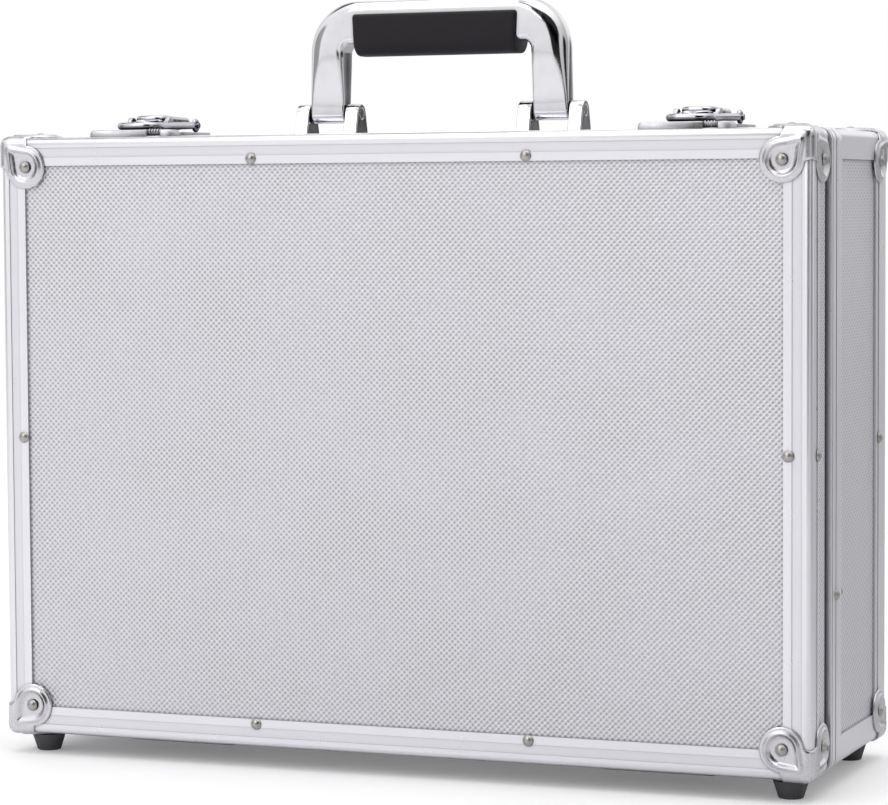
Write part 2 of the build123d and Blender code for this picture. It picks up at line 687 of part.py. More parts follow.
def latch_base(x0):
    """Case half of a latch: a base plate with two ears for the lever pin."""
    half, inner_half = BASE_W / 2, BASE_W / 2 - BASE_INSET
    rim_top = TOP_Z + RIM_PROUD
    plate = block((x0 - half, x0 + half), (depth(BASE[0]), depth(BASE[1])), (rim_top, rim_top + BASE_T))
    plate = fillet(plate.edges().filter_by(Axis.Z).group_by(Axis.Y)[-1], BASE_CORNER_R)
    plate += block((x0 - inner_half, x0 + inner_half),
                   (depth(RIM_END + 0.2), depth(BASE[1] - BASE_INSET)),
                   (TOP_Z - PROFILE, rim_top + BASE_T / 2))
    d, up = LEVER_PIVOT
    pin_z = TOP_Z + up
    for s in (-1, 1):
        e0, e1 = x0 + s * LATCH_EAR[0], x0 + s * LATCH_EAR[1]
        plate += block((e0, e1), (depth(d - LATCH_EAR_R), depth(d + LATCH_EAR_R)), (rim_top, pin_z))
        plate += rod((e0, depth(d), pin_z), (e1, depth(d), pin_z), LATCH_EAR_R)
    return plate - latch_bore(x0, LEVER_PIVOT, TIGHT_PLAY)


def latch_lever(x0):
    """Lever of a latch: deep over its pivot, slimmer at the rear where the bail hangs."""
    plane = Plane(origin=(x0 - LEVER_W / 2, 0, 0), x_dir=(0, 1, 0), z_dir=(1, 0, 0))
    edges = (Pos(depth(LEVER_PIVOT[0]), TOP_Z + LEVER_PIVOT[1]) * Circle(LEVER_FRONT_R)).edges()
    for (back, up), radius in ((LEVER_REAR_AT, LEVER_REAR_R), (LEVER_LIP_AT, LEVER_LIP_R)):
        at = Pos(depth(BAIL_PIVOT[0] + back), TOP_Z + BAIL_PIVOT[1] + up)
        edges += (at * Circle(radius)).edges()
    lever = extrude(plane * make_hull(edges), LEVER_W)
    return lever - latch_bore(x0, LEVER_PIVOT, TURNING_PLAY) - latch_bore(x0, BAIL_PIVOT, TIGHT_PLAY)


def latch_bail(x0):
    """Wire loop from the rear of the lever forward to the lug of the strike."""
    hook_y, hook_z = depth(HOOK_AT[0]), TOP_Z + HOOK_AT[1]
    pivot_y, pivot_z = depth(BAIL_PIVOT[0]), TOP_Z + BAIL_PIVOT[1]
    rise = (pivot_z - hook_z) / (pivot_y - hook_y)
    back_y = pivot_y - BAIL_EYE_R + 0.6

    def at(x, y):
        return (x0 + x, y, hook_z + rise * (y - hook_y))

    line_left = Line(at(-BAIL_HALF, back_y), at(-BAIL_HALF, hook_y + BAIL_CORNER_R))
    bar = Line(at(BAIL_CORNER_R - BAIL_HALF, hook_y), at(BAIL_HALF - BAIL_CORNER_R, hook_y))
    line_right = Line(at(BAIL_HALF, hook_y + BAIL_CORNER_R), at(BAIL_HALF, back_y))
    bend_left = TangentArc(line_left @ 1, bar @ 0, tangent=line_left % 1)
    bend_right = TangentArc(bar @ 1, line_right @ 0, tangent=bar % 1)
    path = Wire([line_left, bend_left, bar, bend_right, line_right])
    bail = sweep(Plane(origin=line_left @ 0, z_dir=line_left % 0) * Circle(WIRE_R), path=path)
    for x in (x0 - BAIL_HALF, x0 + BAIL_HALF):
        half = BAIL_EYE_T / 2
        bail += rod((x - half, pivot_y, pivot_z), (x + half, pivot_y, pivot_z), BAIL_EYE_R)
    return bail - latch_bore(x0, BAIL_PIVOT, TURNING_PLAY)


def build_latches():
    """Two draw latches across the seam on top."""
    springs, lever_pins = [], []
    for name, s in LEFT_RIGHT.items():
        x0 = s * LATCH_X
        nodes[f"latch_strike_{name}"] = latch_strike(x0)
        nodes[f"latch_base_{name}"] = latch_base(x0)
        nodes[f"latch_lever_{name}"] = latch_lever(x0)
        nodes[f"latch_bail_{name}"] = latch_bail(x0)
        nodes[f"bail_pin_{name}"] = latch_pin(x0, BAIL_PIVOT, BAIL_HALF + WIRE_R + BAIL_PIN_END)
        springs.append(notch_spring(x0))
        lever_pins.append(latch_pin(x0, LEVER_PIVOT, LATCH_EAR[1]))
    nodes["strike_springs"] = springs
    nodes["lever_pins"] = lever_pins


def tray(front_d):
    """Foam tray with round-bottomed chip channels, two card wells and a dice well."""
    y0, y1 = depth(front_d), depth(front_d + TRAY_T)
    solid = inner_block(TRAY_PLAY, y0, y1)
    room = solid.bounding_box()
    mouth_y, axis_y = y0 - 1, y1 - TRAY_FLOOR - CHIP_R
    lowest = room.min.Z + CHANNEL_EDGE + CHIP_R
    for i in range(CHANNELS):
        z = lowest + i * CHANNEL_PITCH
        x = (-CHANNEL_L / 2, CHANNEL_L / 2)
        solid -= rod((x[0], axis_y, z), (x[1], axis_y, z), CHIP_R)
        solid -= block(x, (mouth_y, axis_y), (z - CHIP_R, z + CHIP_R))
    well_y = (mouth_y, y1 - TRAY_FLOOR)
    well_z = (room.max.Z - WELL_EDGE - CARD_H, room.max.Z - WELL_EDGE)
    scoop_z = lowest + CHANNEL_PITCH * (CHANNELS - 1) / 2
    for s in (-1, 1):
        well_x = (s * CHANNEL_L / 2, s * (CHANNEL_L / 2 - CARD_W))
        solid -= block(well_x, well_y, well_z)
        scoop_x = s * room.max.X
        solid -= rod((scoop_x, mouth_y, scoop_z), (scoop_x, y0 + SCOOP_DEEP, scoop_z), SCOOP_R)
    return solid - block((-DICE_W / 2, DICE_W / 2), well_y, well_z)


def build_trays():
    """Two chip trays, one behind the other."""
    back = CASE_D - PAD_GAP - PAD_T - TRAY_GAP / 2
    nodes["chip_tray_rear"] = tray(back - TRAY_T)
    nodes["chip_tray_front"] = tray(back - 2 * TRAY_T - TRAY_GAP)


def write_nodes():
    """One STEP file per node."""
    os.makedirs("parts", exist_ok=True)
    for name, shape in nodes.items():
        solids = as_solids(shape)
        whole = Compound(children=solids) if len(solids) > 1 else solids[0]
        whole.label = name
        export_step(whole, f"parts/{name}.step")
        print(name, len(solids))


build_lid()
build_case()
build_stay_brackets()
build_hinges()
build_handle()
build_latches()
build_trays()
write_nodes()
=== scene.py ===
"""Aluminium poker chip case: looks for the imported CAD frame. Metres, in the CAD frame."""
import math

import bpy
from mathutils import Matrix, Vector


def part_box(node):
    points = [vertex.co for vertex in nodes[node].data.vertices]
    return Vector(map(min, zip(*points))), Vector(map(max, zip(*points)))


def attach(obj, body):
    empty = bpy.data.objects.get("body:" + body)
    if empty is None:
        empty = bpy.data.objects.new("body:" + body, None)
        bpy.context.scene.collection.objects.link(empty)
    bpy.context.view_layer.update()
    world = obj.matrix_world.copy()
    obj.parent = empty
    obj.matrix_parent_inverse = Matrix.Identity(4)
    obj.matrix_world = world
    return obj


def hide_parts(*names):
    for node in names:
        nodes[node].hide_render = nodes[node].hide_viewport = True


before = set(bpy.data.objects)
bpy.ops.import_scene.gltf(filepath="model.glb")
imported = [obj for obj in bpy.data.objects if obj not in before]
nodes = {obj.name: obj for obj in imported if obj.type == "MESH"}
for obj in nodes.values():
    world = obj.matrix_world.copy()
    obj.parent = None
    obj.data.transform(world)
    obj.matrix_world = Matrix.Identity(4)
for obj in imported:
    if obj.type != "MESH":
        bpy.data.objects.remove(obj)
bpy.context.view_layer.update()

MM = 0.001
FACE_LOW, FACE_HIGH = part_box("lid_edge_top")[0].y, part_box("case_edge_top")[1].y
LEFT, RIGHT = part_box("case_corner_angles")[0].x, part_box("case_corner_angles")[1].x
BOTTOM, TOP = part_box("case_corner_angles")[0].z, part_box("case_corner_angles")[1].z
MIDDLE = (BOTTOM + TOP) / 2
CORNER_R = 3.5 * MM
COVER_T = 1.0 * MM
SHEET_PITCH = 2.8 * MM
GROOVE_FROM, GROOVE_TO = 4.8 * MM, 9.4 * MM


# ---------------------------------------------------------------- materials

class Nodes:
    """Short way to build a node tree: each call adds a node and returns its output."""

    def __init__(self, owner):
        owner.use_nodes = True
        self.owner = owner
        self.tree = owner.node_tree
        self.shader = self.tree.nodes.get("Principled BSDF")

    def link(self, value, socket):
        if isinstance(value, bpy.types.NodeSocket):
            self.tree.links.new(value, socket)
        else:
            socket.default_value = value

    def set(self, **values):
        for name, value in values.items():
            self.link(value, self.shader.inputs[name.replace("_", " ")])

    def math(self, operation, *values):
        node = self.tree.nodes.new("ShaderNodeMath")
        node.operation = operation
        for value, socket in zip(values, node.inputs):
            self.link(value, socket)
        return node.outputs[0]

    def place(self):
        return self.tree.nodes.new("ShaderNodeTexCoord").outputs["Object"]

    def split(self, vector):
        node = self.tree.nodes.new("ShaderNodeSeparateXYZ")
        self.link(vector, node.inputs[0])
        return node.outputs

    def scaled(self, vector, scale):
        node = self.tree.nodes.new("ShaderNodeMapping")
        self.link(vector, node.inputs["Vector"])
        node.inputs["Scale"].default_value = scale
        return node.outputs[0]

    def noise(self, vector, scale, detail=3.0, roughness=0.55):
        node = self.tree.nodes.new("ShaderNodeTexNoise")
        self.link(vector, node.inputs["Vector"])
        node.inputs["Scale"].default_value = scale
        node.inputs["Detail"].default_value = detail
        node.inputs["Roughness"].default_value = roughness
        return node.outputs["Fac"]

    def voronoi(self, vector, scale):
        node = self.tree.nodes.new("ShaderNodeTexVoronoi")
        self.link(vector, node.inputs["Vector"])
        node.inputs["Scale"].default_value = scale
        return node.outputs["Distance"]

    def ramp(self, value, low, high, to_low=0.0, to_high=1.0):
        node = self.tree.nodes.new("ShaderNodeMapRange")
        self.link(value, node.inputs["Value"])
        for name, number in (("From Min", low), ("From Max", high), ("To Min", to_low),
                             ("To Max", to_high)):
            node.inputs[name].default_value = number
        return node.outputs[0]

    def mix(self, factor, dark, light):
        node = self.tree.nodes.new("ShaderNodeMix")
        node.data_type = "RGBA"
        self.link(factor, node.inputs["Factor"])
        for socket, colour in ((node.inputs[6], dark), (node.inputs[7], light)):
            if not isinstance(colour, bpy.types.NodeSocket):
                colour = (*colour, 1.0)
            self.link(colour, socket)
        return node.outputs[2]

    def product(self, one, other):
        """Product of two colours."""
        node = self.tree.nodes.new("ShaderNodeMix")
        node.data_type, node.blend_type = "RGBA", "MULTIPLY"
        node.inputs["Factor"].default_value = 1.0
        self.link(one, node.inputs[6])
        self.link(other, node.inputs[7])
        return node.outputs[2]

    def painted_crevice_shade(self, colour, reach, level):
        """Colour darkened to level where other surfaces stand close, as in seams and pressings:
        painted shade, read from ambient occlusion.
        """
        node = self.tree.nodes.new("ShaderNodeAmbientOcclusion")
        node.samples = 8
        node.inputs["Distance"].default_value = reach
        shade = self.ramp(node.outputs["AO"], 0.35, 0.95, level, 1.0)
        return self.product(colour, shade)

    def bump(self, height, distance, strength=1.0, rounding=0.0):
        node = self.tree.nodes.new("ShaderNodeBump")
        node.inputs["Distance"].default_value = distance
        node.inputs["Strength"].default_value = strength
        self.link(height, node.inputs["Height"])
        if rounding:
            bevel = self.tree.nodes.new("ShaderNodeBevel")
            bevel.samples = 4
            bevel.inputs["Radius"].default_value = rounding
            self.tree.links.new(bevel.outputs[0], node.inputs["Normal"])
        self.tree.links.new(node.outputs[0], self.shader.inputs["Normal"])


def embossed_sheet(name, lying):
    """Aluminium sheet embossed with a fine diamond grid, with painted shade in its pits and
    crevices; lying sheets face up or down.
    """
    m = Nodes(bpy.data.materials.new(name))
    x, y, z = m.split(m.place())
    across = x if lying else m.math("ADD", x, y)
    along = y if lying else z
    cell = math.pi / SHEET_PITCH
    ridges = []
    for sign in ("ADD", "SUBTRACT"):
        diagonal = m.math("MULTIPLY", m.math(sign, across, along), cell)
        ridges.append(m.math("ABSOLUTE", m.math("SINE", diagonal)))
    pit = m.math("MULTIPLY", *ridges)
    height = m.math("SUBTRACT", 1.0, m.math("POWER", pit, 0.8))
    cloud = m.noise(m.place(), 18.0, 4.0)
    wide_pit = m.math("POWER", pit, 0.65)
    # painted shade: the pits of the embossing are darkened, more or less through the cloud noise
    painted_pit_shade = m.ramp(m.math("MULTIPLY", wide_pit, m.ramp(cloud, 0.3, 0.7, 0.9, 1.08)), 0.25, 1.0)
    tone = m.mix(painted_pit_shade, (0.95, 0.94, 0.99), (0.46, 0.455, 0.49))
    tint = m.mix(m.ramp(cloud, 0.35, 0.65), (0.97, 0.97, 0.98), (1.0, 1.0, 0.995))
    # painted shade: colour darkened by ambient occlusion within 1.6 mm of other surfaces, down to
    # 0.45
    m.set(Base_Color=m.painted_crevice_shade(m.product(tone, tint), 1.6 * MM, 0.45), Metallic=0.55,
          Roughness=m.ramp(m.noise(m.place(), 300.0), 0.3, 0.7, 0.36, 0.5))
    m.bump(height, 0.35 * MM, 0.8)
    return m.owner


def sunk_band(m, across, half):
    """1 inside the sunk band of an edge profile whose outer edge lies half from the middle."""
    inset = m.math("SUBTRACT", half, m.math("ABSOLUTE", across))
    after = m.ramp(inset, GROOVE_FROM - 0.2 * MM, GROOVE_FROM + 0.2 * MM)
    before = m.ramp(inset, GROOVE_TO - 0.2 * MM, GROOVE_TO + 0.2 * MM, 1.0, 0.0)
    return m.math("MULTIPLY", after, before)


def brushed(name, axis, tone=(0.90, 0.89, 0.94), rough=0.3, metallic=0.85, rounding=0.5 * MM,
            shade_sunk_band=False):
    """Extruded aluminium or plated steel with fine lines along one axis and light wear, and painted
    shade in crevices and, if asked, in the sunk band of the profile.
    """
    m = Nodes(bpy.data.materials.new(name))
    stretch = [900.0, 900.0, 900.0]
    stretch["xyz".index(axis)] = 6.0
    lines = m.noise(m.scaled(m.place(), stretch), 1.0, 4.0, 0.65)
    wear = m.noise(m.place(), 45.0, 5.0, 0.6)
    specks = m.ramp(m.voronoi(m.place(), 260.0), 0.03, 0.09)
    streaks, worn = m.ramp(lines, 0.3, 0.7, 0.93, 1.0), m.ramp(wear, 0.3, 0.7, 0.95, 1.0)
    shade = m.math("MULTIPLY", streaks, worn)
    shade = m.math("MULTIPLY", shade, m.ramp(specks, 0.0, 1.0, 0.96, 1.0))
    if shade_sunk_band:
        x, _, z = m.split(m.place())
        if axis == "x":
            band = sunk_band(m, m.math("SUBTRACT", z, MIDDLE), (TOP - BOTTOM) / 2)
        else:
            band = sunk_band(m, x, RIGHT)
        # painted shade: the sunk band of the profile is darkened to 0.84
        shade = m.math("MULTIPLY", shade, m.ramp(band, 0.0, 1.0, 1.0, 0.84))
    dark = tuple(0.5 * c for c in tone)
    # painted shade: colour darkened by ambient occlusion within 2 mm of other surfaces, down to 0.4
    m.set(Base_Color=m.painted_crevice_shade(m.mix(shade, dark, tone), 2.0 * MM, 0.4), Metallic=metallic,
          Roughness=m.ramp(wear, 0.25, 0.75, rough * 0.85, rough * 1.2))
    m.bump(lines, 0.02 * MM, 0.35, rounding)
    return m.owner


def polished(name, tone=(0.86, 0.87, 0.89), rough=0.07, rounding=0.4 * MM, reach=2.2 * MM,
             level=0.25):
    """Bright plated metal with faint smudges, fine polishing marks and painted shade where other
    surfaces stand close.
    """
    m = Nodes(bpy.data.materials.new(name))
    smudge = m.noise(m.place(), 90.0, 5.0, 0.6)
    marks = m.noise(m.scaled(m.place(), (1500.0, 1500.0, 120.0)), 1.0, 3.0)
    worn = m.mix(m.ramp(smudge, 0.3, 0.7), tuple(0.9 * c for c in tone), tone)
    # painted shade: colour darkened by ambient occlusion within reach of other surfaces, down to
    # level
    m.set(Base_Color=m.painted_crevice_shade(worn, reach, level), Metallic=1.0,
          Roughness=m.ramp(m.math("ADD", smudge, m.math("MULTIPLY", marks, 0.3)), 0.4, 0.9,
                           rough, rough * 2.4))
    m.bump(marks, 0.004 * MM, 0.3, rounding)
    return m.owner


def rubber(name, tone, rough=0.6, grain=1400.0, depth=0.05, specular=0.5):
    """Moulded rubber with a fine grain, dusty on the high spots."""
    m = Nodes(bpy.data.materials.new(name))
    grain_height = m.voronoi(m.place(), grain)
    dust = m.noise(m.place(), 60.0, 5.0)
    light = tuple(min(1.0, c * 1.7 + 0.004) for c in tone)
    m.set(Base_Color=m.mix(m.ramp(dust, 0.45, 0.75, 0.0, 0.6), tone, light),
          Roughness=m.ramp(dust, 0.3, 0.7, rough * 0.85, min(1.0, rough * 1.15)),
          Specular_IOR_Level=specular)
    m.bump(grain_height, depth * MM, 0.6, 0.3 * MM)
    return m.owner


def foam(name):
    """Closed-cell foam: very fine open pores and a slightly mottled black."""
    m = Nodes(bpy.data.materials.new(name))
    pores = m.voronoi(m.place(), 2200.0)
    mottle = m.noise(m.place(), 120.0, 5.0)
    m.set(Base_Color=m.mix(m.ramp(mottle, 0.35, 0.7), (0.018, 0.018, 0.02), (0.04, 0.04, 0.044)),
          Roughness=m.ramp(pores, 0.0, 0.5, 0.78, 0.95), Sheen_Weight=0.15)
    m.bump(pores, 0.12 * MM, 0.7, 0.6 * MM)
    return m.owner


def felt(name):
    """Short black felt glued on foam."""
    m = Nodes(bpy.data.materials.new(name))
    fibres = m.noise(m.scaled(m.place(), (1800.0, 900.0, 1800.0)), 1.0, 5.0, 0.7)
    nap = m.noise(m.place(), 40.0, 4.0)
    m.set(Base_Color=m.mix(m.ramp(fibres, 0.35, 0.7), (0.012, 0.012, 0.014), (0.05, 0.05, 0.055)),
          Roughness=m.ramp(nap, 0.3, 0.7, 0.85, 1.0), Sheen_Weight=0.35, Sheen_Roughness=0.6)
    m.bump(fibres, 0.15 * MM, 0.8)
    return m.owner


UPRIGHT_SHEET = embossed_sheet("embossed_sheet_upright", False)
LYING_SHEET = embossed_sheet("embossed_sheet_lying", True)
PROFILE = {axis: brushed(f"profile_along_{axis}", axis, rounding=0.0, shade_sunk_band=axis != "y")
           for axis in "xyz"}
RIM = {axis: brushed(f"rim_along_{axis}", axis, rounding=0.0) for axis in "xz"}
# painted shade: every polished metal is darkened by ambient occlusion near other surfaces; the
# latch chrome most, within 5 mm and down to 0.06
CHROME = polished("bright_chrome", (0.80, 0.80, 0.83), 0.06)
COVER_CHROME = polished("cover_nickel", (0.76, 0.75, 0.785), 0.17)
LATCH_CHROME = polished("latch_chrome", (0.62, 0.61, 0.67), 0.05, 0.3 * MM, 5.0 * MM, 0.06)
SATIN_NICKEL = polished("satin_nickel", (0.66, 0.65, 0.68), 0.26)
RIVET_STEEL = polished("rivet_steel", (0.50, 0.48, 0.46), 0.2, 0.2 * MM)
PLATED = brushed("plated_steel", "x", (0.62, 0.63, 0.65), 0.32, 1.0, 0.3 * MM)
GRIP_RUBBER = rubber("grip_rubber", (0.0105, 0.008, 0.012), 0.55, specular=0.3)
FOOT_RUBBER = rubber("foot_rubber", (0.075, 0.075, 0.08), 0.6, 900.0)
# near-black gasket rubber, partly painted shade: its dark colour stands for the shade in the seam
# between lid and case
SEAL_RUBBER_AND_SEAM_SHADE = rubber("seal_rubber", (0.03, 0.03, 0.032), 0.7)
FOAM = foam("tray_foam")
FELT = felt("lining_felt")


def dress(material, *names):
    """Give CAD nodes a material."""
    for name in names:
        node = nodes[name]
        node.data.materials.clear()
        node.data.materials.append(material)


def dress_cad():
    """Materials of every CAD node that stays in view."""
    dress(UPRIGHT_SHEET, "lid_face_panel", "case_back_panel")
    for shell in ("lid", "case"):
        for side, axis in (("top", "x"), ("bottom", "x"), ("left", "z"), ("right", "z")):
            lying = side in ("top", "bottom")
            dress(LYING_SHEET if lying else UPRIGHT_SHEET, f"{shell}_wall_{side}")
            dress(PROFILE[axis], f"{shell}_edge_{side}")
            if shell == "case":
                dress(RIM[axis], f"case_rim_{side}")
        dress(PROFILE["y"], f"{shell}_corner_angles")
        dress(COVER_CHROME, f"{shell}_corner_covers")
        dress(RIVET_STEEL, f"{shell}_rivets")
        dress(FOOT_RUBBER, f"{shell}_feet")
        dress(PLATED, f"{shell}_foot_screws")
        dress(FELT, f"{shell}_lining")
    # the gasket's near-black colour is partly painted shade in the seam
    dress(SEAL_RUBBER_AND_SEAM_SHADE, "lid_gasket")
    dress(RIVET_STEEL, "stay_rivets")
    dress(PLATED, "stay_bracket_left", "stay_bracket_right", "hinge_lid_leaves",
          "hinge_case_leaves", "hinge_pins", "strike_springs")
    dress(CHROME, "handle_frame", "handle_bracket_left", "handle_bracket_right", "handle_pins",
          "lever_pins")
    for side in ("left", "right"):
        for part in ("latch_lever", "latch_bail", "bail_pin"):
            dress(LATCH_CHROME, f"{part}_{side}")
        dress(SATIN_NICKEL, f"latch_strike_{side}", f"latch_base_{side}")
    dress(GRIP_RUBBER, "handle_grip")
    dress(FOAM, "chip_tray_front", "chip_tray_rear")


dress_cad()


def soften(width, *names):
    """Round the hard edges of CAD nodes with modifiers; their own meshes stay as they are."""
    for name in names:
        node = nodes[name]
        weld = node.modifiers.new("weld", "WELD")
        weld.merge_threshold = 0.001 * MM
        bevel = node.modifiers.new("soft_edges", "BEVEL")
        bevel.width, bevel.segments = width, 3
        bevel.limit_method, bevel.angle_limit = "ANGLE", math.radians(40)
        bevel.use_clamp_overlap = True
        bevel.harden_normals = False


for side in ("left", "right"):
    soften(0.5 * MM, f"handle_bracket_{side}", f"latch_base_{side}")
for side in ("top", "bottom", "left", "right"):
    soften(0.14 * MM, f"case_rim_{side}", f"lid_edge_{side}", f"case_edge_{side}")


# ---------------------------------------------------------------- meshes

def add_piece(name, parts, material, body, slot, *replaced):
    """One object from a list of (points, faces), riding on a body in place of CAD nodes."""
    points, faces = [], []
    for part_points, part_faces in parts:
        start = len(points)
        points += part_points
        faces += [tuple(start + i for i in face) for face in part_faces]
    mesh = bpy.data.meshes.new(name)
    mesh.from_pydata(points, [], faces)
    mesh.polygons.foreach_set("use_smooth", [True] * len(mesh.polygons))
    mesh.materials.append(material)
    piece = bpy.data.objects.new(name, mesh)
    bpy.context.scene.collection.objects.link(piece)
    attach(piece, body)
    if replaced:
        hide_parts(*replaced)
    return piece


def loft(rings, looped=False, capped=True):
    """Points and faces through closed rings of equally many points."""
    count = len(rings[0])
    points = [tuple(point) for ring in rings for point in ring]
    faces = []
    last = len(rings) if looped else len(rings) - 1
    for i in range(last):
        a, b = i * count, (i + 1) % len(rings) * count
        for j in range(count):
            k = (j + 1) % count
            faces.append((a + j, b + j, b + k, a + k))
    if capped and not looped:
        faces.append(tuple(range(count)))
        faces.append(tuple(len(points) - 1 - i for i in range(count)))
    return points, faces


def tube(path, radius, looped=False, sides=16):
    """Round bar along a path of points."""
    path = [Vector(point) for point in path]
    rings = []
    side = None
    for i, point in enumerate(path):
        before = path[i - 1] if looped or i else point
        after = path[(i + 1) % len(path)] if looped or i < len(path) - 1 else point
        along = (after - before).normalized()
        if side is None:
            side = along.cross(Vector((0, 0, 1)) if abs(along.z) < 0.9 else Vector((1, 0, 0)))
        side = (side - along * side.dot(along)).normalized()
        up = along.cross(side)
        angles = [2 * math.pi * k / sides for k in range(sides)]
        rings.append([point + (side * math.cos(a) + up * math.sin(a)) * radius for a in angles])
    return loft(rings, looped)


def rounded_box_ring(half_u, half_v, radii, steps=7, stretch=1.0):
    """Closed outline of a rectangle whose four corners have their own radii, from (+u, +v) on.

    stretch makes the corners longer along u than along v.
    """
    ring = []
    for corner, ((su, sv), radius) in enumerate(zip(((1, 1), (-1, 1), (-1, -1), (1, -1)), radii)):
        reach_u, reach_v = min(radius * stretch, half_u), min(radius, half_v)
        for k in range(steps):
            angle = math.pi / 2 * (corner + k / (steps - 1))
            ring.append((su * (half_u - reach_u) + reach_u * math.cos(angle),
                         sv * (half_v - reach_v) + reach_v * math.sin(angle)))
    return ring


def smooth_step(value, low, high):
    """0 up to low and 1 from high on, with an even start and end between them."""
    t = min(1.0, max(0.0, (value - low) / (high - low)))
    return t * t * (3 - 2 * t)


# ---------------------------------------------------------------- corner covers

LOBE_R = 10.2 * MM
LOBE_REACH = 14.0 * MM
LOBE_IN, LOBE_DEPTH = 13.8 * MM, 15.5 * MM
TAB_WRAP, TAB_SPARE = 1.0 * MM, 0.3 * MM
RIDGE_R, RIDGE_H = 7.4 * MM, 0.85 * MM
RIDGE_TIP_AT = 0.36
DISH_DEPTH, DISH_SLOPE = 0.85 * MM, 2.8 * MM
LOBE_SIDES, DISC_RINGS, RIM_RINGS = 72, 22, 14
DISC_R, EDGE_ROUND = 9.5 * MM, 0.6 * MM


def lobe_edge(centre):
    """Distance from the lobe's centre to its outline, for each of LOBE_SIDES directions.

    The outline is a disc joined to a square tab that reaches round the corner.
    """
    reach = []
    for k in range(LOBE_SIDES):
        angle = 2 * math.pi * k / LOBE_SIDES
        way = Vector((math.cos(angle), math.sin(angle)))
        tab = math.inf
        for start, step in zip(centre, way):
            if step:
                wall = max(LOBE_REACH, start + TAB_SPARE) if step > 0 else -TAB_WRAP
                tab = min(tab, (wall - start) / step)
        reach.append(max(LOBE_R, tab))
    return reach


def ridge_distance(point, centre):
    """Signed distance to the crest of the teardrop ridge: a circle drawn out towards the corner."""
    tip = centre * RIDGE_TIP_AT
    axis = tip - centre
    length = axis.length
    axis.normalize()
    along = (point - centre).dot(axis)
    aside = abs((point - centre).cross(axis))
    lean = RIDGE_R / length
    steep = math.sqrt(max(0.0, 1 - lean * lean))
    if along * steep < aside * lean:
        return math.hypot(along, aside) - RIDGE_R
    if (along - length) * steep > aside * lean:
        return math.hypot(along - length, aside)
    return aside * steep + along * lean - RIDGE_R


def lobe_height(point, centre, from_edge):
    """Height of the pressed sheet above its flat level, from_edge inside its outline."""
    crest = ridge_distance(point, centre)
    ridge = RIDGE_H * math.exp(-(crest / (0.8 * MM)) ** 2)
    dish = -DISH_DEPTH * smooth_step(-crest, 0.0, DISH_SLOPE)
    tuck = -0.25 * MM * (1 - smooth_step(min(point.x, point.y), -0.6 * MM, 0.3 * MM))
    return ridge + dish + tuck - 0.35 * MM * (1 - smooth_step(from_edge, 0.0, EDGE_ROUND))


def on_corner(u, v, height):
    """Point above the rounded corner of the case; u and v run in one face, w into the case."""
    sharp = Vector((u, v, 0.0))
    inner = Vector((max(u, CORNER_R), max(v, CORNER_R), CORNER_R))
    outward = (sharp - inner).normalized()
    return inner + outward * (CORNER_R + COVER_T + height)


def lobe(centre, axes, corner, signs):
    """One lobe of a cover, placed on the face with the given (u, v, w) axes of the corner."""
    reach = lobe_edge(centre)
    rings = []
    for i in range(1, DISC_RINGS + RIM_RINGS + 2):
        disc = min(1.0, i / DISC_RINGS)
        rim = min(1.0, max(0, i - DISC_RINGS) / RIM_RINGS)
        ring = []
        for k in range(LOBE_SIDES):
            angle = 2 * math.pi * k / LOBE_SIDES
            distance = DISC_R * disc + (reach[k] - DISC_R) * rim
            flat = centre + Vector((math.cos(angle), math.sin(angle))) * distance
            lift = lobe_height(flat, centre, reach[k] - distance)
            if i > DISC_RINGS + RIM_RINGS:
                lift = 0.05 * MM - COVER_T
            local = on_corner(flat.x, flat.y, lift)
            place = [0.0, 0.0, 0.0]
            for value, axis in zip(local, axes):
                place[axis] = corner[axis] + signs[axis] * value
            ring.append(tuple(place))
        rings.append(ring)
    points, faces = loft(rings, capped=False)
    faces.append(tuple(range(LOBE_SIDES)))
    turned = math.prod(signs) < 0
    if (axes in ((0, 1, 2), (1, 2, 0))) != turned:
        faces = [face[::-1] for face in faces]
    return points, faces


def build_covers():
    """Pressed three-lobed covers on the eight corners."""
    lobes = ((Vector((LOBE_IN, LOBE_IN)), (0, 2, 1)), (Vector((LOBE_IN, LOBE_DEPTH)), (0, 1, 2)),
             (Vector((LOBE_DEPTH, LOBE_IN)), (1, 2, 0)))
    for shell, face_y, inward in (("lid", FACE_LOW, 1), ("case", FACE_HIGH, -1)):
        parts = []
        for edge_x, sx in ((LEFT, 1), (RIGHT, -1)):
            for edge_z, sz in ((BOTTOM, 1), (TOP, -1)):
                for centre, axes in lobes:
                    parts.append(lobe(centre, axes, (edge_x, face_y, edge_z), (sx, inward, sz)))
        add_piece(f"{shell}_pressed_covers", parts, COVER_CHROME, shell, "chrome",
                  f"{shell}_corner_covers")


# ---------------------------------------------------------------- handle

LEG_IN, LEG_OUT = 48.0 * MM, 65.5 * MM
HANDLE_TOP, BAR_UNDER = 64.0 * MM, 44.0 * MM
SHOULDER_R, INNER_R = 24.0 * MM, 4.5 * MM
PIVOT_UP, EYE_R, BAR_HALF = 11.0 * MM, 4.6 * MM, 8.0 * MM
GRIP_UPPER_R, GRIP_LOWER_R, GRIP_TAPER = 1.6 * MM, 6.4 * MM, 0.010
HANDLE_Y = (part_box("handle_pins")[0].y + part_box("handle_pins")[1].y) / 2


